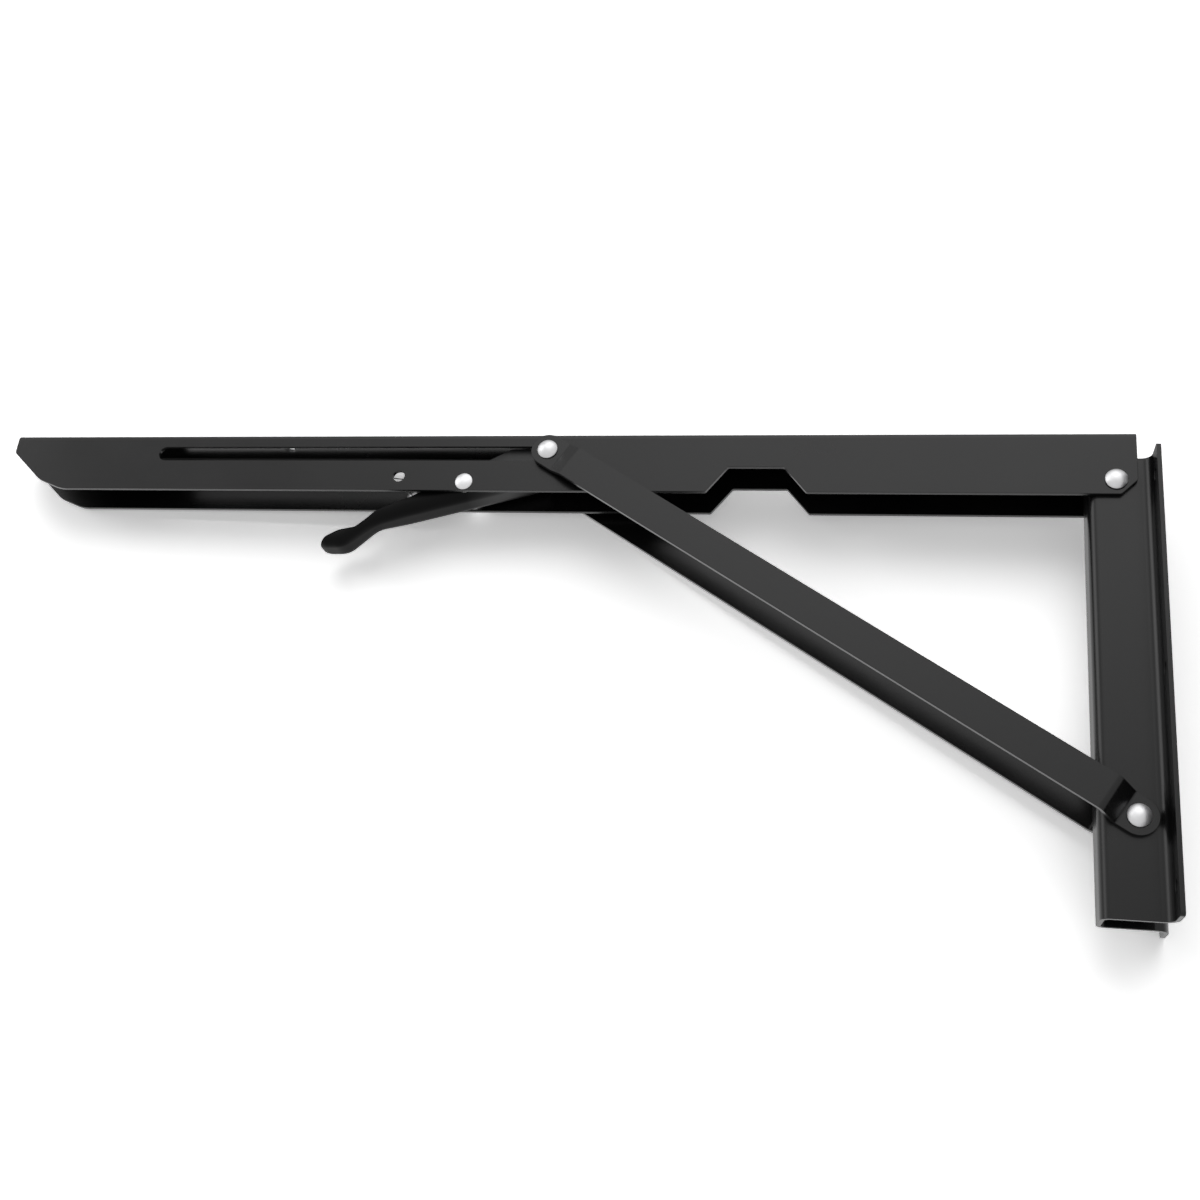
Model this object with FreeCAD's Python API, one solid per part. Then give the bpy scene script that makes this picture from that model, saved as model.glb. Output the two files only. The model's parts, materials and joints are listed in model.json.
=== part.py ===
import FreeCAD, Part
import os
from math import atan2, cos, degrees, hypot, pi, sin, sqrt, tan

# Drop leaf table bracket, lengths in mm.
# Frame: the back of the wall rail lies in the plane x = 0, its centre is the origin,
# the arm points along -X, +Z is up, and the bracket is symmetric about y = 0 but for the spring.

# Wall rail
RAIL_THICKNESS = 1.5
RAIL_DEPTH = 23.5
RAIL_HALF_BODY = 8.0
RAIL_HALF_WIDTH = 20.0
RAIL_HALF_LENGTH = 82.6
RAIL_FRONT_BEND = 2.0
RAIL_FLANGE_BEND = 3.5
RAIL_CORNER = 1.5
RAIL_SCREW_FROM_SIDE = 5.2
RAIL_SCREW_FROM_END = 10.0
RAIL_SCREW_RADIUS = 2.25

# Pivots, in the x-z plane
ARM_PIVOT_FROM_FRONT = 9.7
ARM_PIVOT_FROM_TOP = 9.4
BRACE_PIVOT_FROM_FRONT = 12.7
BRACE_PIVOT_FROM_BOTTOM = 33.5
SLIDE_FROM_PIVOT_X = -209.2
SLIDE_FROM_PIVOT_Z = 10.5
LEVER_FROM_PIVOT_X = -242.3
LEVER_FROM_PIVOT_Z = -1.9

# Support arm
ARM_THICKNESS = 1.5
ARM_HALF_WIDTH = 9.8
ARM_TOP = 19.3
ARM_BOTTOM = -5.7
ARM_RIGHT = 7.4
ARM_LEFT = -442.6
ARM_BEND = 0.6
SLOT_HEIGHT = 6.2
SLOT_END_ROOM = 0.25
SLOT_FROM_LEFT = 66.9
SIDE_HOLE_X = -269.5
SIDE_HOLE_Z = 0.4
SIDE_HOLE_RADIUS = 2.4
FRONT_SCREW_FROM_LEFT = 14.6
REAR_SCREW_FROM_RIGHT = 67.4
WEB_SCREW_SPACING = 105.0
WEB_SCREW_RADIUS = 2.4
FRONT_END = [(25.6, 0.0, 14.0), (14.6, 4.2, 10.0), (0.0, 16.7, 2.5)]
NOTCH = [(-109.3, -5.7), (-118.1, 4.8), (-139.0, 4.8), (-147.0, -5.7)]
NOTCH_CORNER = 1.0

# Brace bars
BAR_THICKNESS = 1.8
BAR_HALF_WIDTH = 6.5
BAR_LOWER_EAR = 8.1
BAR_STRIP = 13.5
BAR_UPPER_EAR = 11.2
LOWER_BEND_START = 5.6
LOWER_BEND_END = 11.3
UPPER_BEND_START = 11.6
UPPER_BEND_END = 6.6
BAR_BEND = 1.2

# Rivets
RUNNING = 0.05
ARM_SHANK = 3.0
BRACE_SHANK = 2.5
SMALL_SHANK = 2.0
HEAD_RADIUS = 4.3
HEAD_HEIGHT = 2.2
HEAD_RIM = 0.5
LEVER_HEAD_RADIUS = 3.5
LEVER_HEAD_HEIGHT = 1.2
LEVER_HEAD_RIM = 0.2
SPACER_WALL = 1.6

# Slide guides
GUIDE_RADIUS = 3.0
GUIDE_HEAD_RADIUS = 4.5
GUIDE_HEAD_INNER = 7.15
GUIDE_HEAD_OUTER = 8.25
GUIDE_WASHER_INNER = 9.85
GUIDE_END = 11.05

# Release lever: corners (x, z, radius) seen from the side, and from above (x, how far in from the
# half width, radius), with the last one at the tip
LEVER_THICKNESS = 1.2
LEVER_HALF_WIDTH = 7.0
LEVER_ROUNDING = 4.5
LEVER_NOSE_GAP = 0.2
LEVER_NOSE_TOP = 13.9
LEVER_UNDERSIDE = [(-206.0, 2.6, 0), (-278.8, -17.6, 12.0), (-290.2, -27.8, 9.0), (-306.0, -28.1, 0)]
LEVER_UPPER_EDGE = [(-225.4, 13.9, 2.0), (-238.7, 6.4, 5.0), (-247.0, 3.0, 6.0), (-256.0, -2.6, 6.0),
                    (-264.5, -7.3, 6.0), (-278.5, -13.2, 6.0), (-285.8, -20.2, 4.0), (-292.0, -22.0, 5.0),
                    (-297.0, -24.8, 4.0), (-302.8, -30.5, 0)]
LEVER_PLAN = [(-268.0, 0.0, 30.0), (-281.5, 1.1, 30.0), (-292.0, 0.0, 30.0), (-302.6, 0.0, 5.5)]
WASHER_RADIUS = 3.4
WASHER_GAP = 0.05

# Torsion spring on the lever rivet, its wire drawn with flats
WIRE_RADIUS = 0.45
WIRE_FLATS = 8
COIL_RADIUS = 2.6
COIL_HALF_TURNS = 5
COIL_PITCH = 1.0
HOOK_FROM_HOLE_X = -0.75
HOOK_FROM_HOLE_Z = 1.35
CORNER_X = -274.2
LOWER_LEG_X = -262.0

ARM_PIVOT_X = ARM_PIVOT_FROM_FRONT - RAIL_DEPTH
ARM_PIVOT_Z = RAIL_HALF_LENGTH - ARM_PIVOT_FROM_TOP
BRACE_PIVOT_X = BRACE_PIVOT_FROM_FRONT - RAIL_DEPTH
BRACE_PIVOT_Z = BRACE_PIVOT_FROM_BOTTOM - RAIL_HALF_LENGTH
SLIDE_X = ARM_PIVOT_X + SLIDE_FROM_PIVOT_X
SLIDE_Z = ARM_PIVOT_Z + SLIDE_FROM_PIVOT_Z
LEVER_X = ARM_PIVOT_X + LEVER_FROM_PIVOT_X
LEVER_Z = ARM_PIVOT_Z + LEVER_FROM_PIVOT_Z
SIDES = {"near": -1, "far": 1}


def vec(x, y, z):
    return FreeCAD.Vector(x, y, z)


def from_pivot(points):
    return [(p[0] + ARM_PIVOT_X, p[1] + ARM_PIVOT_Z) + tuple(p[2:]) for p in points]


def rounded_wire(points, place):
    """Closed wire through corners (a, b, radius), laid out by place(a, b)."""
    edges = []
    last_end = None
    first_start = None
    count = len(points)
    for i in range(count):
        a, b, radius = points[i]
        before = points[i - 1]
        after = points[(i + 1) % count]
        d1 = (before[0] - a, before[1] - b)
        d2 = (after[0] - a, after[1] - b)
        l1 = hypot(*d1)
        l2 = hypot(*d2)
        u1 = (d1[0] / l1, d1[1] / l1)
        u2 = (d2[0] / l2, d2[1] / l2)
        if radius > 0:
            half = 0.5 * (pi - abs(atan2(u1[0] * u2[1] - u1[1] * u2[0], u1[0] * u2[0] + u1[1] * u2[1])))
            back = radius * tan(half)
            start = (a + u1[0] * back, b + u1[1] * back)
            end = (a + u2[0] * back, b + u2[1] * back)
            middle = (u1[0] + u2[0], u1[1] + u2[1])
            length = hypot(*middle)
            reach = radius / cos(half) - radius
            mid = (a + middle[0] / length * reach, b + middle[1] / length * reach)
        else:
            start = (a, b)
            end = (a, b)
            mid = None
        if last_end is not None:
            edges.append(Part.makeLine(place(*last_end), place(*start)))
        else:
            first_start = start
        if mid is not None:
            edges.append(Part.Arc(place(*start), place(*mid), place(*end)).toShape())
        last_end = end
    edges.append(Part.makeLine(place(*last_end), place(*first_start)))
    return Part.Wire(edges)


def side_plate(points, low, high):
    """Plate with its outline in the x-z plane, between y = low and y = high."""
    corners = [(p[0], p[1], p[2] if len(p) > 2 else 0) for p in points]
    wire = rounded_wire(corners, lambda a, b: vec(a, low, b))
    return Part.Face(wire).extrude(vec(0, high - low, 0))


def pin(x, z, radius, low, high):
    return Part.makeCylinder(radius, high - low, vec(x, low, z), vec(0, 1, 0))


def ring(x, z, inner, outer, low, high):
    return pin(x, z, outer, low, high).cut(pin(x, z, inner, low - 1, high + 1))


def domed_head(x, z, radius, height, rim, base, side):
    """Rivet head that starts at y = base * side and rises outwards."""
    foot = base * side
    edge = (base + rim) * side
    top = (base + height) * side
    rise = height - rim
    ball = (radius ** 2 + rise ** 2) / (2 * rise)
    part_way = radius * 0.5
    mid_rise = sqrt(ball ** 2 - part_way ** 2) - (ball - rise)
    middle = (base + rim + mid_rise) * side
    outline = [
        Part.makeLine(vec(x, foot, z), vec(x + radius, foot, z)),
        Part.makeLine(vec(x + radius, foot, z), vec(x + radius, edge, z)),
        Part.Arc(vec(x + radius, edge, z), vec(x + part_way, middle, z), vec(x, top, z)).toShape(),
        Part.makeLine(vec(x, top, z), vec(x, foot, z)),
    ]
    return Part.Face(Part.Wire(outline)).revolve(vec(x, 0, z), vec(0, 1, 0), 360)


def through_rivet(x, z, shank, head_radius, height, rim, base):
    solid = pin(x, z, shank, -base, base)
    for side in SIDES.values():
        solid = solid.fuse(domed_head(x, z, head_radius, height, rim, base, side))
    return solid.removeSplitter()


def wall_rail():
    inner_body = RAIL_HALF_BODY - RAIL_THICKNESS
    front_outer = RAIL_FRONT_BEND + RAIL_THICKNESS
    back_inner = RAIL_FLANGE_BEND + RAIL_THICKNESS
    half = [
        (0, RAIL_HALF_WIDTH, 0),
        (-RAIL_THICKNESS, RAIL_HALF_WIDTH, 0),
        (-RAIL_THICKNESS, RAIL_HALF_BODY, RAIL_FLANGE_BEND),
        (-RAIL_DEPTH, RAIL_HALF_BODY, front_outer),
    ]
    inside = [
        (0, -inner_body, back_inner),
        (RAIL_THICKNESS - RAIL_DEPTH, -inner_body, RAIL_FRONT_BEND),
        (RAIL_THICKNESS - RAIL_DEPTH, inner_body, RAIL_FRONT_BEND),
        (0, inner_body, back_inner),
    ]
    other = [(a, -b, r) for a, b, r in reversed(half)]
    section = rounded_wire(half + other + inside, lambda a, b: vec(a, b, -RAIL_HALF_LENGTH))
    rail = Part.Face(section).extrude(vec(0, 0, 2 * RAIL_HALF_LENGTH))
    corners = [(-RAIL_HALF_WIDTH, -RAIL_HALF_LENGTH), (RAIL_HALF_WIDTH, -RAIL_HALF_LENGTH),
               (RAIL_HALF_WIDTH, RAIL_HALF_LENGTH), (-RAIL_HALF_WIDTH, RAIL_HALF_LENGTH)]
    blank = rounded_wire([(a, b, RAIL_CORNER) for a, b in corners], lambda a, b: vec(-RAIL_DEPTH - 1, a, b))
    rail = rail.common(Part.Face(blank).extrude(vec(RAIL_DEPTH + 2, 0, 0)))
    screw_y = RAIL_HALF_WIDTH - RAIL_SCREW_FROM_SIDE
    screw_z = RAIL_HALF_LENGTH - RAIL_SCREW_FROM_END
    for y in (-screw_y, screw_y):
        for z in (-screw_z, 0, screw_z):
            rail = rail.cut(Part.makeCylinder(RAIL_SCREW_RADIUS, 10, vec(-5, y, z), vec(1, 0, 0)))
    reach = RAIL_HALF_BODY + 1
    rail = rail.cut(pin(ARM_PIVOT_X, ARM_PIVOT_Z, ARM_SHANK + RUNNING, -reach, reach))
    rail = rail.cut(pin(BRACE_PIVOT_X, BRACE_PIVOT_Z, BRACE_SHANK + RUNNING, -reach, reach))
    return rail


def support_arm():
    half_inner = ARM_HALF_WIDTH - ARM_THICKNESS
    outer_bend = ARM_BEND + ARM_THICKNESS
    section = [
        (-ARM_HALF_WIDTH, ARM_BOTTOM, 0), (-ARM_HALF_WIDTH, ARM_TOP, outer_bend),
        (ARM_HALF_WIDTH, ARM_TOP, outer_bend), (ARM_HALF_WIDTH, ARM_BOTTOM, 0),
        (half_inner, ARM_BOTTOM, 0), (half_inner, ARM_TOP - ARM_THICKNESS, ARM_BEND),
        (-half_inner, ARM_TOP - ARM_THICKNESS, ARM_BEND), (-half_inner, ARM_BOTTOM, 0),
    ]
    left = ARM_PIVOT_X + ARM_LEFT
    channel = rounded_wire(section, lambda a, b: vec(left, a, b + ARM_PIVOT_Z))
    arm = Part.Face(channel).extrude(vec(ARM_RIGHT - ARM_LEFT, 0, 0))
    notch = [(a, b, NOTCH_CORNER) for a, b in NOTCH]
    front = [(ARM_LEFT + a, ARM_BOTTOM + b, r) for a, b, r in FRONT_END]
    outline = [(ARM_RIGHT, ARM_TOP + 1, 0), (ARM_RIGHT, 0.0, 1.5), (1.6, ARM_BOTTOM, 1.5)]
    outline += notch + front + [(ARM_LEFT, ARM_TOP + 1, 0)]
    reach = ARM_HALF_WIDTH + 1
    arm = arm.common(side_plate(from_pivot(outline), -reach, reach))
    slot_low = SLIDE_FROM_PIVOT_Z - SLOT_HEIGHT / 2
    slot_high = SLIDE_FROM_PIVOT_Z + SLOT_HEIGHT / 2
    slot_right = SLIDE_FROM_PIVOT_X + GUIDE_RADIUS + SLOT_END_ROOM
    slot_end = SLOT_HEIGHT / 2 - 0.01
    slot_left = ARM_LEFT + SLOT_FROM_LEFT
    slot = [(slot_left, slot_low, slot_end), (slot_right, slot_low, slot_end),
            (slot_right, slot_high, slot_end), (slot_left, slot_high, slot_end)]
    arm = arm.cut(side_plate(from_pivot(slot), -reach, reach))
    arm = arm.cut(pin(ARM_PIVOT_X, ARM_PIVOT_Z, ARM_SHANK + RUNNING, -reach, reach))
    arm = arm.cut(pin(LEVER_X, LEVER_Z, SMALL_SHANK + RUNNING, -reach, reach))
    hole_x = ARM_PIVOT_X + SIDE_HOLE_X
    hole_z = ARM_PIVOT_Z + SIDE_HOLE_Z
    arm = arm.cut(pin(hole_x, hole_z, SIDE_HOLE_RADIUS, -reach, reach))
    front_screw = ARM_LEFT + FRONT_SCREW_FROM_LEFT
    rear_screw = ARM_RIGHT - REAR_SCREW_FROM_RIGHT
    for x in (front_screw, front_screw + WEB_SCREW_SPACING, rear_screw - WEB_SCREW_SPACING, rear_screw):
        place = vec(ARM_PIVOT_X + x, 0, ARM_PIVOT_Z + ARM_TOP - 5)
        arm = arm.cut(Part.makeCylinder(WEB_SCREW_RADIUS, 10, place))
    return arm


def brace_bar(side):
    rise_x = SLIDE_X - BRACE_PIVOT_X
    rise_z = SLIDE_Z - BRACE_PIVOT_Z
    length = hypot(rise_x, rise_z)
    path = [(-10, BAR_LOWER_EAR), (LOWER_BEND_START, BAR_LOWER_EAR), (LOWER_BEND_END, BAR_STRIP),
            (length - UPPER_BEND_START, BAR_STRIP), (length - UPPER_BEND_END, BAR_UPPER_EAR),
            (length + 10, BAR_UPPER_EAR)]
    low_turn = atan2(BAR_STRIP - BAR_LOWER_EAR, LOWER_BEND_END - LOWER_BEND_START)
    high_turn = atan2(BAR_STRIP - BAR_UPPER_EAR, UPPER_BEND_START - UPPER_BEND_END)
    low_shift = BAR_THICKNESS * tan(low_turn / 2)
    high_shift = BAR_THICKNESS * tan(high_turn / 2)
    shifts = [0, -low_shift, -low_shift, high_shift, high_shift, 0]
    wide = BAR_BEND + BAR_THICKNESS
    under = [0, wide, BAR_BEND, BAR_BEND, wide, 0]
    over = [0, BAR_BEND, wide, wide, BAR_BEND, 0]
    lower = [(p[0], p[1], r) for p, r in zip(path, under)]
    upper = [(p[0] + s, p[1] + BAR_THICKNESS, r) for p, s, r in zip(path, shifts, over)]
    outline = lower + list(reversed(upper))
    edge = rounded_wire(outline, lambda a, b: vec(a, b * side, -BAR_HALF_WIDTH))
    bar = Part.Face(edge).extrude(vec(0, 0, 2 * BAR_HALF_WIDTH))
    low = min(BAR_LOWER_EAR * side, (BAR_STRIP + 2 * BAR_THICKNESS) * side)
    high = max(BAR_LOWER_EAR * side, (BAR_STRIP + 2 * BAR_THICKNESS) * side)
    low -= 1
    high += 1
    ends = pin(0, 0, BAR_HALF_WIDTH, low, high).fuse(pin(length, 0, BAR_HALF_WIDTH, low, high))
    middle = Part.makeBox(length, high - low, 2 * BAR_HALF_WIDTH, vec(0, low, -BAR_HALF_WIDTH))
    bar = bar.common(ends.fuse(middle).removeSplitter())
    bar = bar.cut(pin(0, 0, BRACE_SHANK + RUNNING, low, high))
    bar = bar.cut(pin(length, 0, SMALL_SHANK + RUNNING, low, high))
    bar.rotate(vec(0, 0, 0), vec(0, 1, 0), -degrees(atan2(rise_z, rise_x)))
    bar.translate(vec(BRACE_PIVOT_X, 0, BRACE_PIVOT_Z))
    return bar


def slide_rivet(side):
    face = BAR_UPPER_EAR + BAR_THICKNESS
    low = min(BAR_UPPER_EAR * side, face * side)
    shank = pin(SLIDE_X, SLIDE_Z, SMALL_SHANK, low, low + BAR_THICKNESS)
    head = domed_head(SLIDE_X, SLIDE_Z, HEAD_RADIUS, HEAD_HEIGHT, HEAD_RIM, face, side)
    return shank.fuse(head).removeSplitter()


def slide_guide(side):
    low = min(GUIDE_HEAD_INNER * side, GUIDE_END * side)
    stem = pin(SLIDE_X, SLIDE_Z, GUIDE_RADIUS, low, low + GUIDE_END - GUIDE_HEAD_INNER)
    low = min(GUIDE_HEAD_INNER * side, GUIDE_HEAD_OUTER * side)
    head = pin(SLIDE_X, SLIDE_Z, GUIDE_HEAD_RADIUS, low, low + GUIDE_HEAD_OUTER - GUIDE_HEAD_INNER)
    return stem.fuse(head).removeSplitter()


def slide_washer(side):
    low = min(GUIDE_WASHER_INNER * side, GUIDE_END * side)
    high = low + GUIDE_END - GUIDE_WASHER_INNER
    return ring(SLIDE_X, SLIDE_Z, GUIDE_RADIUS, GUIDE_HEAD_RADIUS, low, high)


def lever_washer(side):
    inner = LEVER_HALF_WIDTH + WASHER_GAP
    outer = ARM_HALF_WIDTH - ARM_THICKNESS
    low = min(inner * side, outer * side)
    return ring(LEVER_X, LEVER_Z, SMALL_SHANK + RUNNING, WASHER_RADIUS, low, low + outer - inner)


def raised(points, offset):
    """The path of corners (x, z, radius), drawn from right to left, moved up by offset."""
    found = []
    count = len(points)
    for i in range(count):
        x, z, radius = points[i]
        before = points[max(i - 1, 0)]
        after = points[min(i + 1, count - 1)]
        first = (x - before[0], z - before[1]) if i > 0 else (after[0] - x, after[1] - z)
        second = (after[0] - x, after[1] - z) if i < count - 1 else first
        l1 = hypot(*first)
        l2 = hypot(*second)
        n1 = (first[1] / l1, -first[0] / l1)
        n2 = (second[1] / l2, -second[0] / l2)
        share = offset / (1 + n1[0] * n2[0] + n1[1] * n2[1])
        turn = first[0] * second[1] - first[1] * second[0]
        if radius > 0:
            radius += offset if turn > 0 else -offset
        found.append((x + (n1[0] + n2[0]) * share, z + (n1[1] + n2[1]) * share, radius))
    return found


def trough(inset):
    """Solid above the lever's underside and inside its plan, both moved in by inset, rounded below."""
    path = raised(LEVER_UNDERSIDE, inset)
    ceiling = 3 * ARM_TOP
    floor = LEVER_UNDERSIDE[-1][1] - ARM_TOP
    half_width = LEVER_HALF_WIDTH - inset
    outline = path + [(path[-1][0], ceiling, 0), (path[0][0], ceiling, 0)]
    solid = side_plate(from_pivot(outline), -2 * half_width, 2 * half_width)
    tip_x, tip_in, tip_radius = LEVER_PLAN[-1]
    plan = LEVER_PLAN[:-1] + [(tip_x + inset, tip_in, tip_radius - inset)]
    near = [(path[0][0] + 1, -half_width, 0)] + [(a, b - half_width, r) for a, b, r in plan]
    far = [(a, -b, r) for a, b, r in reversed(near)]
    wire = rounded_wire(near + far, lambda a, b: vec(a + ARM_PIVOT_X, b, ARM_PIVOT_Z + floor))
    solid = solid.common(Part.Face(wire).extrude(vec(0, 0, 2 * ceiling)))
    lower_edges = []
    for edge in solid.Edges:
        box = edge.BoundBox
        at_nose = box.XMin > ARM_PIVOT_X + path[0][0] - 0.001
        upright = box.XLength < 0.001 and box.YLength < 0.001
        if not at_nose and not upright and box.ZMax < ARM_PIVOT_Z + ceiling - 1:
            lower_edges.append(edge)
    return solid.makeFillet(LEVER_ROUNDING - inset, lower_edges)


def release_lever():
    shell = trough(0.0).cut(trough(LEVER_THICKNESS))
    nose = SLIDE_FROM_PIVOT_X - GUIDE_RADIUS - LEVER_NOSE_GAP
    below = LEVER_UNDERSIDE[-1][1] - ARM_TOP
    outline = [(nose, LEVER_NOSE_TOP, 0.8)] + LEVER_UPPER_EDGE
    outline += [(LEVER_UPPER_EDGE[-1][0], below, 0), (nose, below, 0)]
    reach = 2 * LEVER_HALF_WIDTH
    shell = shell.common(side_plate(from_pivot(outline), -reach, reach))
    return shell.cut(pin(LEVER_X, LEVER_Z, SMALL_SHANK + RUNNING, -reach, reach))


def wire_section(place, along, side):
    """Outline of the wire round place, across the direction along."""
    along = vec(along.x, along.y, along.z).normalize()
    first = along.cross(side).normalize()
    second = along.cross(first).normalize()
    corners = []
    for i in range(WIRE_FLATS):
        angle = 2 * pi * (i + 0.5) / WIRE_FLATS
        corners.append(place + first * (WIRE_RADIUS * cos(angle)) + second * (WIRE_RADIUS * sin(angle)))
    return Part.Face(Part.makePolygon(corners + [corners[0]]))


def rod(first, last):
    """Straight run of wire, a little longer at both ends so that it joins the next run."""
    along = last.sub(first)
    unit = vec(along.x, along.y, along.z).normalize()
    start = first - unit * (WIRE_RADIUS / 2)
    length = along.Length + WIRE_RADIUS
    side = vec(0, 1, 0) if abs(unit.y) < 0.9 else vec(0, 0, 1)
    return wire_section(start, unit, side).extrude(unit * length)


def torsion_spring():
    half_width = COIL_HALF_TURNS * COIL_PITCH / 4
    spring = None
    up = 1
    y = -half_width
    for i in range(COIL_HALF_TURNS):
        start = vec(LEVER_X, y, LEVER_Z + up * COIL_RADIUS)
        y += COIL_PITCH / 2
        end = vec(LEVER_X, y, LEVER_Z - up * COIL_RADIUS)
        across = end.sub(start)
        axis = across.cross(vec(-up, 0, 0))
        section = wire_section(start, vec(1, 0, 0), vec(0, 0, 1))
        turn = section.revolve((start + end) * 0.5, axis, 180)
        spring = turn if spring is None else spring.fuse(turn)
        up = -up
    hole_x = ARM_PIVOT_X + SIDE_HOLE_X
    hole_z = ARM_PIVOT_Z + SIDE_HOLE_Z
    hook = vec(hole_x + HOOK_FROM_HOLE_X, ARM_HALF_WIDTH, hole_z + HOOK_FROM_HOLE_Z)
    corner = vec(ARM_PIVOT_X + CORNER_X, -half_width, hole_z + HOOK_FROM_HOLE_Z)
    top = vec(LEVER_X, -half_width, LEVER_Z + COIL_RADIUS)
    bottom = vec(LEVER_X, half_width, LEVER_Z - COIL_RADIUS)
    start, bend = LEVER_UNDERSIDE[:2]
    slope = (bend[1] - start[1]) / (bend[0] - start[0])
    web = start[1] + slope * (LOWER_LEG_X - start[0]) + LEVER_THICKNESS * hypot(1, slope)
    rest = vec(ARM_PIVOT_X + LOWER_LEG_X, half_width, ARM_PIVOT_Z + web + 1.2 * WIRE_RADIUS)
    for first, last in ((hook, corner), (corner, top), (bottom, rest)):
        spring = spring.fuse(rod(first, last))
    return spring


def make_parts():
    arm_base = ARM_HALF_WIDTH + RUNNING
    brace_base = BAR_LOWER_EAR + BAR_THICKNESS + RUNNING
    inner_body = RAIL_HALF_BODY - RAIL_THICKNESS
    shapes = {
        "wall_rail": wall_rail(),
        "support_arm": support_arm(),
        "arm_pivot_rivet": through_rivet(ARM_PIVOT_X, ARM_PIVOT_Z, ARM_SHANK, HEAD_RADIUS,
                                         HEAD_HEIGHT, HEAD_RIM, arm_base),
        "brace_pivot_rivet": through_rivet(BRACE_PIVOT_X, BRACE_PIVOT_Z, BRACE_SHANK, HEAD_RADIUS,
                                           HEAD_HEIGHT, HEAD_RIM, brace_base),
        "lever_rivet": through_rivet(LEVER_X, LEVER_Z, SMALL_SHANK, LEVER_HEAD_RADIUS,
                                     LEVER_HEAD_HEIGHT, LEVER_HEAD_RIM, ARM_HALF_WIDTH),
        "arm_pivot_spacer": ring(ARM_PIVOT_X, ARM_PIVOT_Z, ARM_SHANK + RUNNING,
                                 ARM_SHANK + SPACER_WALL, -inner_body, inner_body),
        "brace_pivot_spacer": ring(BRACE_PIVOT_X, BRACE_PIVOT_Z, BRACE_SHANK + RUNNING,
                                   BRACE_SHANK + SPACER_WALL, -inner_body, inner_body),
        "release_lever": release_lever(),
        "torsion_spring": torsion_spring(),
    }
    for name, side in SIDES.items():
        shapes["brace_bar_" + name] = brace_bar(side)
        shapes["slide_rivet_" + name] = slide_rivet(side)
        shapes["slide_guide_" + name] = slide_guide(side)
        shapes["slide_washer_" + name] = slide_washer(side)
        shapes["lever_washer_" + name] = lever_washer(side)
    return shapes


os.makedirs("parts", exist_ok=True)
for node, shape in make_parts().items():
    solids = shape.Solids
    if len(solids) == 1:
        shape = solids[0]
    print(node, "solids", len(solids), "valid", shape.isValid(), "volume", round(shape.Volume, 1))
    shape.exportStep("parts/" + node + ".step")
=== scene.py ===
import json
from math import cos, pi, sin, sqrt

import bmesh
import bpy
from mathutils import Matrix, Vector

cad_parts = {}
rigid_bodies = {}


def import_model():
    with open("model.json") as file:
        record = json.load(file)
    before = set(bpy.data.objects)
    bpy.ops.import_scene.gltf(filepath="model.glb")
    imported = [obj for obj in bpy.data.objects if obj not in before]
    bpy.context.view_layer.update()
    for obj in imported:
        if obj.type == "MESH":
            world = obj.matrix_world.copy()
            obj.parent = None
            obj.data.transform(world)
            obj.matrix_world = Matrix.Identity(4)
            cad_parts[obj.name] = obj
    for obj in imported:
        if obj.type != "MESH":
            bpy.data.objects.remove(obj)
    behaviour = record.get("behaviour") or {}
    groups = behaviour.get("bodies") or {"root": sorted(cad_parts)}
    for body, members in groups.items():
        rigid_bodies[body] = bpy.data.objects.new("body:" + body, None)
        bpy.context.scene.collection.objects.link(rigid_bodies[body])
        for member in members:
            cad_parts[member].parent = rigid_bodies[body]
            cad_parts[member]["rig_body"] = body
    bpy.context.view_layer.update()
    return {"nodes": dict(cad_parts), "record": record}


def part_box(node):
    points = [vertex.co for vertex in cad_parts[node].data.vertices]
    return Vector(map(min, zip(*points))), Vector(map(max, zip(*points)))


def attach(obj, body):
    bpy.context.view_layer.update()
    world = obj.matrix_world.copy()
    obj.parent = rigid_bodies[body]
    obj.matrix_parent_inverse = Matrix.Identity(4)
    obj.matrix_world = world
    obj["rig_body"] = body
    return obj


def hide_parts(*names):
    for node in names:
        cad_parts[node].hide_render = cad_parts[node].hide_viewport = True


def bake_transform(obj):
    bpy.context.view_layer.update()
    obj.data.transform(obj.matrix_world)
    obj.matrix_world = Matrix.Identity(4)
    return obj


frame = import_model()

# Drop leaf table bracket, in metres and in the frame of the CAD. It lies on its far side.
nodes = frame["nodes"]
scene = bpy.context.scene

# Camera, fitted to the outline of the bracket in the photograph
CAMERA_PLACE = (-0.085079, -0.486513, -0.178175)
CAMERA_RIGHT = (0.977334, 0.185703, 0.101648)
CAMERA_DOWN = (0.021219, 0.391802, -0.919805)
CAMERA_AHEAD = (-0.210636, 0.901114, 0.378981)
FOCAL_PIXELS = 1432.97
PHOTO_PIXELS = 1200
SENSOR = 36.0
CLIP_START = 0.01

# White surface, just clear of the rail's far flange, the far slide rivet and the arm's end
FLOOR_AT_RAIL = 0.0203
FLOOR_SLOPE = 0.0218
FLOOR_REACH = 3.0
# Its colour is above 1 so that it comes out white. The lift is the share that no shadow darkens.
FLOOR_WHITE = 2.3
FLOOR_LIFT = 0.27

# Level of the world between the soft lights
SKY_DARK = 0.09
# Soft lights: way to the middle, strength, and where it starts and is full as cosines from that way
GLOWS = (
    ((0.04, -0.68, 0.73), 1.85, (0.80, 0.98)),
    ((-0.80, -0.46, 0.38), 3.2, (0.93, 1.0)),
    ((0.0, -1.0, 0.0), 0.24, (0.1, 1.0)),
    ((0.80, 0.55, -0.15), 1.3, (0.68, 0.98)),
    ((-0.80, 0.55, -0.15), 1.3, (0.68, 0.98)),
    ((0.0, 0.97, -0.24), 0.6, (0.86, 1.0)),
)
# How much of the white background gloss shows. The rest of it is the soft light.
GLOSS_SHARE = 0.5

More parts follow.
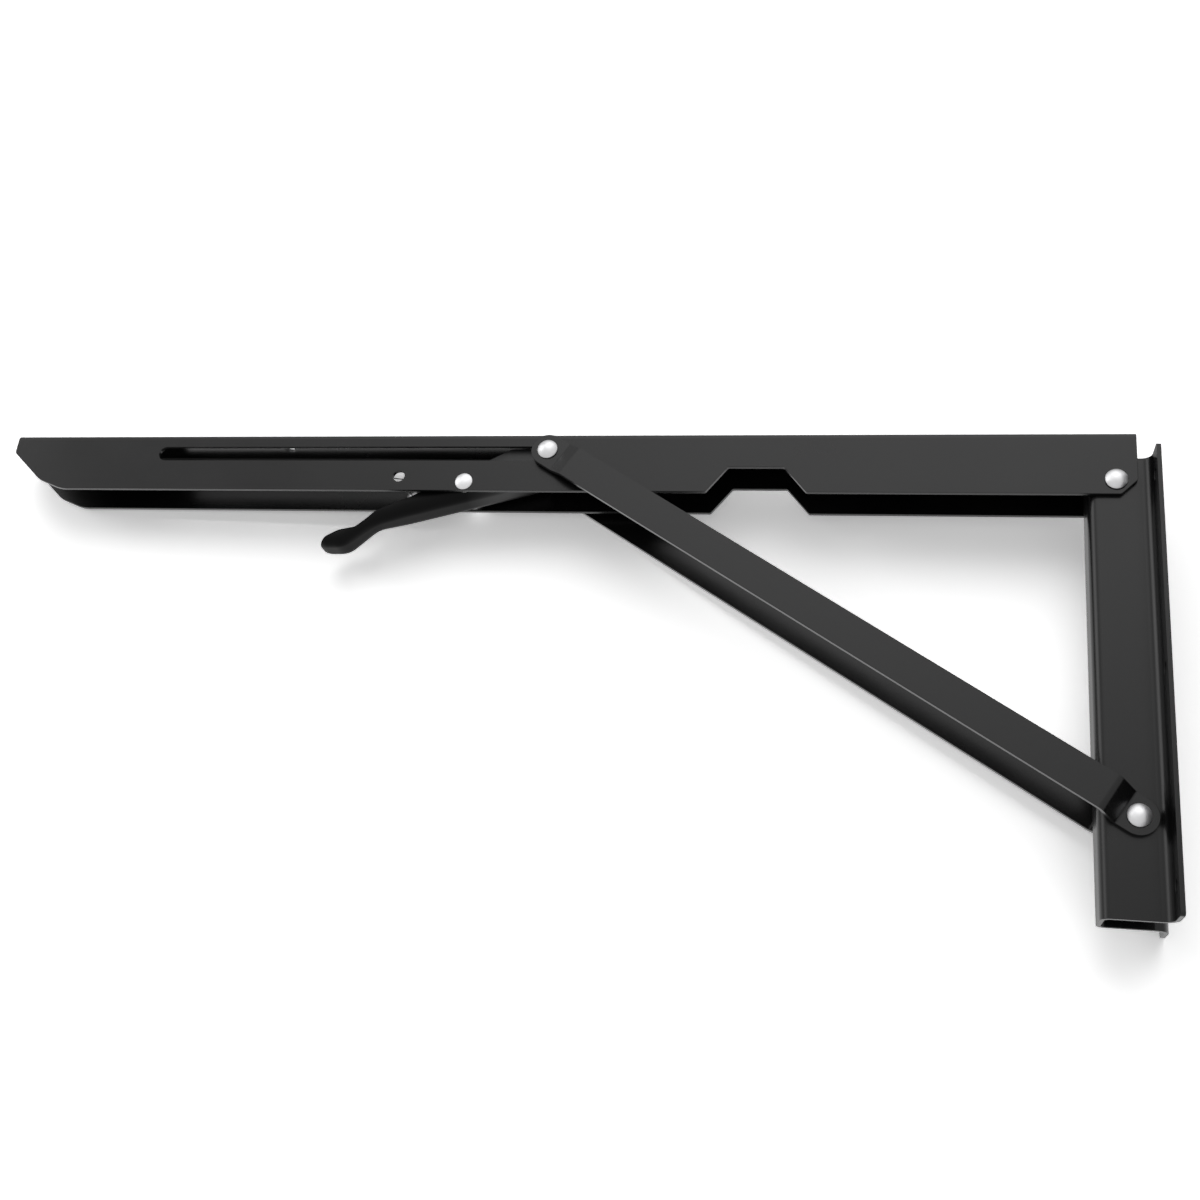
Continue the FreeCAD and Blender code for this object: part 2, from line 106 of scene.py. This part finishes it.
# Part of a noise texture's range that colours and roughness are spread over
NOISE_LOW = 0.3
NOISE_HIGH = 0.7

# Black coat. A texture is its scale and detail, a relief its height and strength.
COAT_DARK = (0.0035, 0.0035, 0.0037)
COAT_LIGHT = (0.0055, 0.0055, 0.0057)
COAT_CLOUD = (28.0, 4.0)
COAT_PEEL = (420.0, 1.5)
COAT_PEEL_RELIEF = (0.00003, 0.25)
COAT_GRAIN = (1900.0, 2.0)
COAT_GRAIN_RELIEF = (0.00001, 0.3)
EDGE_RADIUS = 0.0003
EDGE_SAMPLES = 6

# Specular level of the lever's coat at its two ends, and the run along x where it changes. The rise
# towards the nose is a painted sheen.
THUMB_SPECULAR = 0.13
NOSE_PAINTED_SHEEN = 0.66
NOSE_RUN = (-0.256, -0.240)

# Bright plate of the rivets
PLATE_DARK = (0.88, 0.88, 0.89)
PLATE_LIGHT = (0.96, 0.96, 0.97)
PLATE_ROUGHNESS = (0.38, 0.50)
PLATE_CLOUD = (260.0, 3.0)
PLATE_GRAIN = (1100.0, 2.0)
PLATE_GRAIN_RELIEF = (0.00006, 0.5)

# Bare steel, with fine turning lines about the y axis
STEEL_LINES = (500.0, 3.0, 0.6, (1.0, 6.0, 1.0))
STEEL_LINES_RELIEF = (0.00003, 0.3)
STEEL_DARKEST = 0.85

# Rivet heads, on the axes and with the heights of the solids, and the radii of the shanks
HEAD_RADIUS = 0.00395
HEAD_RIM = 0.0005
HEAD_HEIGHT = 0.0022
LEVER_HEAD_RADIUS = 0.0035
LEVER_HEAD_RIM = 0.0002
LEVER_HEAD_HEIGHT = 0.0012
SHOULDER_SHARE = 0.8
SHANKS = {"arm_pivot_rivet": 0.003, "brace_pivot_rivet": 0.0025, "lever_rivet": 0.002,
          "slide_rivet_near": 0.002, "slide_rivet_far": 0.002}
ROUND_STEPS = 96
DOME_STEPS = 20
ON_AXIS = 1e-7

# Spring wire. The hook's corner lies about 2 mm above the solid's, so that it shows in the side hole.
WIRE_RADIUS = 0.00045
WIRE_ROUNDNESS = 5
COIL_RADIUS = 0.0026
COIL_HALF_WIDTH = 0.00125
COIL_TURNS = 2.5
COIL_STEPS = 32
HOOK_END = (-0.28405, 0.0098, 0.07495)
HOOK_KNEE = (-0.2890, 0.0002, 0.0767)
HOOK_CORNER = (-0.2887, -0.00125, 0.0768)
LOWER_LEG_END = (-0.2758, 0.00125, 0.06205)


def material(name):
    m = bpy.data.materials.new(name)
    m.use_nodes = True
    m.node_tree.nodes.clear()
    return m, m.node_tree.nodes, m.node_tree.links


def principled(new, link, **values):
    """Shader joined to the material's output. The values are named as its sockets are."""
    shader = new.new("ShaderNodeBsdfPrincipled")
    out = new.new("ShaderNodeOutputMaterial")
    link.new(shader.outputs["BSDF"], out.inputs["Surface"])
    for key, value in values.items():
        shader.inputs[key.replace("_", " ")].default_value = value
    return shader


def noise(new, link, scale, detail=3.0, rough=0.55, stretch=None):
    """Noise fixed to the piece."""
    where = new.new("ShaderNodeTexCoord")
    tex = new.new("ShaderNodeTexNoise")
    tex.inputs["Scale"].default_value = scale
    tex.inputs["Detail"].default_value = detail
    tex.inputs["Roughness"].default_value = rough
    source = where.outputs["Object"]
    if stretch:
        mapping = new.new("ShaderNodeMapping")
        mapping.inputs["Scale"].default_value = stretch
        link.new(source, mapping.inputs["Vector"])
        source = mapping.outputs["Vector"]
    link.new(source, tex.inputs["Vector"])
    return tex.outputs["Fac"]


def spread(new, link, value, low, high, start=NOISE_LOW, end=NOISE_HIGH):
    """Maps start..end of a value to low..high."""
    node = new.new("ShaderNodeMapRange")
    node.inputs["From Min"].default_value = start
    node.inputs["From Max"].default_value = end
    node.inputs["To Min"].default_value = low
    node.inputs["To Max"].default_value = high
    link.new(value, node.inputs["Value"])
    return node.outputs["Result"]


def soft_edge(new):
    """Normal with sharp edges rounded by the thickness of the coat."""
    node = new.new("ShaderNodeBevel")
    node.samples = EDGE_SAMPLES
    node.inputs["Radius"].default_value = EDGE_RADIUS
    return node.outputs["Normal"]


def bump(new, link, value, shader, height, strength, after=None):
    """Relief of the surface, on top of the normal given as after."""
    node = new.new("ShaderNodeBump")
    node.inputs["Distance"].default_value = height
    node.inputs["Strength"].default_value = strength
    link.new(value, node.inputs["Height"])
    if after is not None:
        link.new(after, node.inputs["Normal"])
    link.new(node.outputs["Normal"], shader.inputs["Normal"])
    return node.outputs["Normal"]


def tint(new, link, value, dark, light, shader):
    """Colours the shader from dark to light by a value."""
    ramp = new.new("ShaderNodeValToRGB")
    ramp.color_ramp.elements[0].position = NOISE_LOW
    ramp.color_ramp.elements[0].color = dark + (1,)
    ramp.color_ramp.elements[1].position = NOISE_HIGH
    ramp.color_ramp.elements[1].color = light + (1,)
    link.new(value, ramp.inputs["Fac"])
    link.new(ramp.outputs["Color"], shader.inputs["Base Color"])


def black_coat(name, rough_low, rough_high, specular):
    """Satin black powder coat: faint cloudiness, orange peel and a fine grain."""
    m, new, link = material(name)
    shader = principled(new, link, Specular_IOR_Level=specular)
    cloud = noise(new, link, *COAT_CLOUD)
    tint(new, link, cloud, COAT_DARK, COAT_LIGHT, shader)
    link.new(spread(new, link, cloud, rough_low, rough_high), shader.inputs["Roughness"])
    peel = bump(new, link, noise(new, link, *COAT_PEEL), shader, *COAT_PEEL_RELIEF, soft_edge(new))
    bump(new, link, noise(new, link, *COAT_GRAIN), shader, *COAT_GRAIN_RELIEF, peel)
    return m


def bright_plate():
    """Bright nickel plate with a fine grain."""
    m, new, link = material("bright_nickel")
    shader = principled(new, link, Metallic=1.0)
    cloud = noise(new, link, *PLATE_CLOUD)
    tint(new, link, cloud, PLATE_DARK, PLATE_LIGHT, shader)
    link.new(spread(new, link, cloud, *PLATE_ROUGHNESS), shader.inputs["Roughness"])
    bump(new, link, noise(new, link, *PLATE_GRAIN), shader, *PLATE_GRAIN_RELIEF)
    return m


def plain_steel(name, rough_low, rough_high, light):
    """Bare turned or drawn steel of the brightness given as light."""
    m, new, link = material(name)
    shader = principled(new, link, Metallic=1.0)
    lines = noise(new, link, *STEEL_LINES)
    tint(new, link, lines, (light * STEEL_DARKEST,) * 3, (light,) * 3, shader)
    link.new(spread(new, link, lines, rough_low, rough_high), shader.inputs["Roughness"])
    bump(new, link, lines, shader, *STEEL_LINES_RELIEF)
    return m


def lever_coat_with_painted_sheen():
    """Painted sheen: the specular level rises along x from the dull thumb end to the nose, so the
    nose reads brighter.
    """
    m = black_coat("black_coat_on_lever", rough_low=0.40, rough_high=0.48, specular=THUMB_SPECULAR)
    new = m.node_tree.nodes
    link = m.node_tree.links
    where = new.new("ShaderNodeTexCoord")
    parts = new.new("ShaderNodeSeparateXYZ")
    link.new(where.outputs["Object"], parts.inputs["Vector"])
    shader = [n for n in new if n.type == "BSDF_PRINCIPLED"][0]
    # Painted sheen: the specular level grows along x towards the nose
    gloss = spread(new, link, parts.outputs["X"], THUMB_SPECULAR, NOSE_PAINTED_SHEEN, *NOSE_RUN)
    link.new(gloss, shader.inputs["Specular IOR Level"])
    return m


SLOT_MATERIALS = {
    "black_coat": black_coat("black_powder_coat", rough_low=0.22, rough_high=0.28, specular=0.48),
    "bright_plate": bright_plate(),
    "plain_steel": plain_steel("turned_steel", rough_low=0.3, rough_high=0.42, light=0.5),
    "spring_wire": plain_steel("spring_steel", rough_low=0.18, rough_high=0.28, light=0.72),
}
BAR_COAT = black_coat("black_coat_on_bars", rough_low=0.20, rough_high=0.26, specular=0.52)
for part in frame["record"]["subparts"]:
    node = nodes[part["node"]]
    node.data.materials.clear()
    node.data.materials.append(SLOT_MATERIALS[part["material_slot"]])
for name in ("brace_bar_near", "brace_bar_far"):
    nodes[name].data.materials[0] = BAR_COAT
nodes["release_lever"].data.materials[0] = lever_coat_with_painted_sheen()


def lathe(name, centre, profile, finish):
    """Turned piece about the y axis through centre, from a profile of (y, radius) points."""
    shape = bmesh.new()
    rings = []
    for y, radius in profile:
        if radius < ON_AXIS:
            rings.append([shape.verts.new((centre.x, y, centre.z))])
            continue
        ring = []
        for i in range(ROUND_STEPS):
            angle = 2 * pi * i / ROUND_STEPS
            across = radius * cos(angle)
            up = radius * sin(angle)
            ring.append(shape.verts.new((centre.x + across, y, centre.z + up)))
        rings.append(ring)
    for first, second in zip(rings, rings[1:]):
        for i in range(ROUND_STEPS):
            j = (i + 1) % ROUND_STEPS
            corners = [first[i % len(first)], first[j % len(first)],
                       second[j % len(second)], second[i % len(second)]]
            # Next to the axis two corners are one, which leaves a triangle
            corners = list(dict.fromkeys(corners))
            shape.faces.new(corners)
    bmesh.ops.recalc_face_normals(shape, faces=shape.faces)
    for face in shape.faces:
        face.smooth = True
    mesh = bpy.data.meshes.new(name)
    shape.to_mesh(mesh)
    shape.free()
    piece = bpy.data.objects.new(name, mesh)
    scene.collection.objects.link(piece)
    mesh.materials.append(finish)
    return piece


def dome(foot, top, radius, rim, shank):
    """Profile from the shank under the head to the crown, with a small shoulder at the foot."""
    side = 1 if top > foot else -1
    rise = abs(top - foot) - rim
    ball = (radius ** 2 + rise ** 2) / (2 * rise)
    soft = rim * SHOULDER_SHARE
    points = [
        (foot, shank),
        (foot, radius - soft),
        (foot + side * soft, radius),
        (foot + side * rim, radius),
    ]
    for i in range(1, DOME_STEPS + 1):
        out = radius * (1 - i / DOME_STEPS)
        points.append((foot + side * (rim + sqrt(ball ** 2 - out ** 2) - (ball - rise)), out))
    return points


def rivets():
    """Smooth rivets in place of the solids: two heads, or one on the slide rivets."""
    for name, shank in SHANKS.items():
        low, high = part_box(name)
        centre = (low + high) / 2
        is_lever = name == "lever_rivet"
        radius = LEVER_HEAD_RADIUS if is_lever else HEAD_RADIUS
        rim = LEVER_HEAD_RIM if is_lever else HEAD_RIM
        height = LEVER_HEAD_HEIGHT if is_lever else HEAD_HEIGHT
        near = dome(low.y + height, low.y, radius, rim, shank)
        far = dome(high.y - height, high.y, radius, rim, shank)
        if name == "slide_rivet_near":
            profile = [(high.y, 0.0), (high.y, shank)] + near
        elif name == "slide_rivet_far":
            profile = [(low.y, 0.0), (low.y, shank)] + far
        else:
            profile = list(reversed(near)) + far
        piece = lathe(name + "_smooth", centre, profile, SLOT_MATERIALS["bright_plate"])
        body = nodes[name]["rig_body"]
        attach(piece, body)
        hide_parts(name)


def spring():
    """Torsion spring on the lever rivet: a leg hooked into the arm, the coil, a leg on the lever."""
    points = [Vector(p) for p in (HOOK_END, HOOK_KNEE, HOOK_CORNER)]
    coil_axis = (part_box("lever_rivet")[0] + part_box("lever_rivet")[1]) / 2
    steps = int(COIL_TURNS * COIL_STEPS)
    for i in range(steps + 1):
        part = i / steps
        angle = pi / 2 - 2 * pi * COIL_TURNS * part
        points.append(Vector((coil_axis.x + COIL_RADIUS * cos(angle),
                              COIL_HALF_WIDTH * (2 * part - 1),
                              coil_axis.z + COIL_RADIUS * sin(angle))))
    points.append(Vector(LOWER_LEG_END))
    curve = bpy.data.curves.new("torsion_spring_wire", "CURVE")
    curve.dimensions = "3D"
    curve.bevel_depth = WIRE_RADIUS
    curve.bevel_resolution = WIRE_ROUNDNESS
    curve.use_fill_caps = True
    line = curve.splines.new("POLY")
    line.points.add(len(points) - 1)
    for place, point in zip(points, line.points):
        point.co = (place.x, place.y, place.z, 1)
    line.use_smooth = True
    curve.materials.append(SLOT_MATERIALS["spring_wire"])
    route = bpy.data.objects.new("spring_route", curve)
    piece = bpy.data.objects.new("torsion_spring_wire", bpy.data.meshes.new_from_object(route))
    bpy.data.objects.remove(route)
    scene.collection.objects.link(piece)
    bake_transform(piece)
    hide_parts("torsion_spring")


def backdrop():
    """White surface that the bracket lies on. Only the camera sees it, and only from the front."""
    mesh = bpy.data.meshes.new("floor")
    corners = []
    for x, z in ((-1, -1), (1, -1), (1, 1), (-1, 1)):
        depth = FLOOR_AT_RAIL + FLOOR_SLOPE * x * FLOOR_REACH
        corners.append((x * FLOOR_REACH, depth, z * FLOOR_REACH))
    mesh.from_pydata(corners, [], [(0, 1, 2, 3)])
    floor = bpy.data.objects.new("floor", mesh)
    scene.collection.objects.link(floor)
    m, new, link = material("white_surface")
    out = new.new("ShaderNodeOutputMaterial")
    matt = new.new("ShaderNodeBsdfDiffuse")
    matt.inputs["Color"].default_value = (FLOOR_WHITE, FLOOR_WHITE, FLOOR_WHITE, 1)
    bright = new.new("ShaderNodeEmission")
    paper = new.new("ShaderNodeMixShader")
    paper.inputs["Fac"].default_value = FLOOR_LIFT
    link.new(matt.outputs["BSDF"], paper.inputs[1])
    link.new(bright.outputs["Emission"], paper.inputs[2])
    clear = new.new("ShaderNodeBsdfTransparent")
    side = new.new("ShaderNodeNewGeometry")
    path = new.new("ShaderNodeLightPath")
    from_behind = new.new("ShaderNodeMixShader")
    shown = new.new("ShaderNodeMixShader")
    link.new(side.outputs["Backfacing"], from_behind.inputs["Fac"])
    link.new(paper.outputs["Shader"], from_behind.inputs[1])
    link.new(clear.outputs["BSDF"], from_behind.inputs[2])
    link.new(path.outputs["Is Camera Ray"], shown.inputs["Fac"])
    link.new(clear.outputs["BSDF"], shown.inputs[1])
    link.new(from_behind.outputs["Shader"], shown.inputs[2])
    link.new(shown.outputs["Shader"], out.inputs["Surface"])
    mesh.materials.append(m)


def glow(new, link, way, level, reach):
    """Light level that rises smoothly towards one direction."""
    where = new.new("ShaderNodeTexCoord")
    dot = new.new("ShaderNodeVectorMath")
    dot.operation = "DOT_PRODUCT"
    dot.inputs[1].default_value = Vector(way).normalized()
    link.new(where.outputs["Generated"], dot.inputs[0])
    node = new.new("ShaderNodeMapRange")
    node.interpolation_type = "SMOOTHSTEP"
    node.inputs["From Min"].default_value = reach[0]
    node.inputs["From Max"].default_value = reach[1]
    node.inputs["To Min"].default_value = 0.0
    node.inputs["To Max"].default_value = level
    link.new(dot.outputs["Value"], node.inputs["Value"])
    return node.outputs["Result"]


def soft_light(new, link):
    """Sum of the glows over the dark level."""
    total = None
    for way, level, reach in GLOWS:
        add = new.new("ShaderNodeMath")
        add.operation = "ADD"
        add.inputs[0].default_value = SKY_DARK
        if total is not None:
            link.new(total, add.inputs[0])
        link.new(glow(new, link, way, level, reach), add.inputs[1])
        total = add.outputs["Value"]
    return total


def white_share(new, link):
    """How much of the plain white a ray sees: all of it from the camera, part of it in gloss."""
    path = new.new("ShaderNodeLightPath")
    in_gloss = new.new("ShaderNodeMath")
    in_gloss.operation = "MULTIPLY"
    in_gloss.inputs[1].default_value = GLOSS_SHARE
    link.new(path.outputs["Is Glossy Ray"], in_gloss.inputs[0])
    white = in_gloss.outputs["Value"]
    for kind in ("Is Camera Ray", "Is Transmission Ray"):
        most = new.new("ShaderNodeMath")
        most.operation = "MAXIMUM"
        link.new(white, most.inputs[0])
        link.new(path.outputs[kind], most.inputs[1])
        white = most.outputs["Value"]
    return white


def studio_world():
    """Soft light from several sides, and plain white where the camera looks past the object."""
    world = bpy.data.worlds.new("studio")
    world.use_nodes = True
    new = world.node_tree.nodes
    link = world.node_tree.links
    new.clear()
    out = new.new("ShaderNodeOutputWorld")
    light = new.new("ShaderNodeBackground")
    seen = new.new("ShaderNodeBackground")
    mix = new.new("ShaderNodeMixShader")
    for shader in (light, seen):
        shader.inputs["Color"].default_value = (1, 1, 1, 1)
    link.new(soft_light(new, link), light.inputs["Strength"])
    seen.inputs["Strength"].default_value = 1.0
    link.new(white_share(new, link), mix.inputs["Fac"])
    link.new(light.outputs["Background"], mix.inputs[1])
    link.new(seen.outputs["Background"], mix.inputs[2])
    link.new(mix.outputs["Shader"], out.inputs["Surface"])
    scene.world = world


def camera():
    """Camera at the photograph's place, angle and framing."""
    data = bpy.data.cameras.new("camera")
    data.sensor_fit = "HORIZONTAL"
    data.sensor_width = SENSOR
    data.lens = FOCAL_PIXELS / PHOTO_PIXELS * SENSOR
    data.clip_start = CLIP_START
    seen = bpy.data.objects.new("camera", data)
    turn = Matrix((Vector(CAMERA_RIGHT), -Vector(CAMERA_DOWN), -Vector(CAMERA_AHEAD))).transposed()
    seen.matrix_world = Matrix.Translation(Vector(CAMERA_PLACE)) @ turn.to_4x4()
    scene.collection.objects.link(seen)
    scene.camera = seen


rivets()
spring()
backdrop()
studio_world()
camera()
scene.view_settings.view_transform = "Standard"
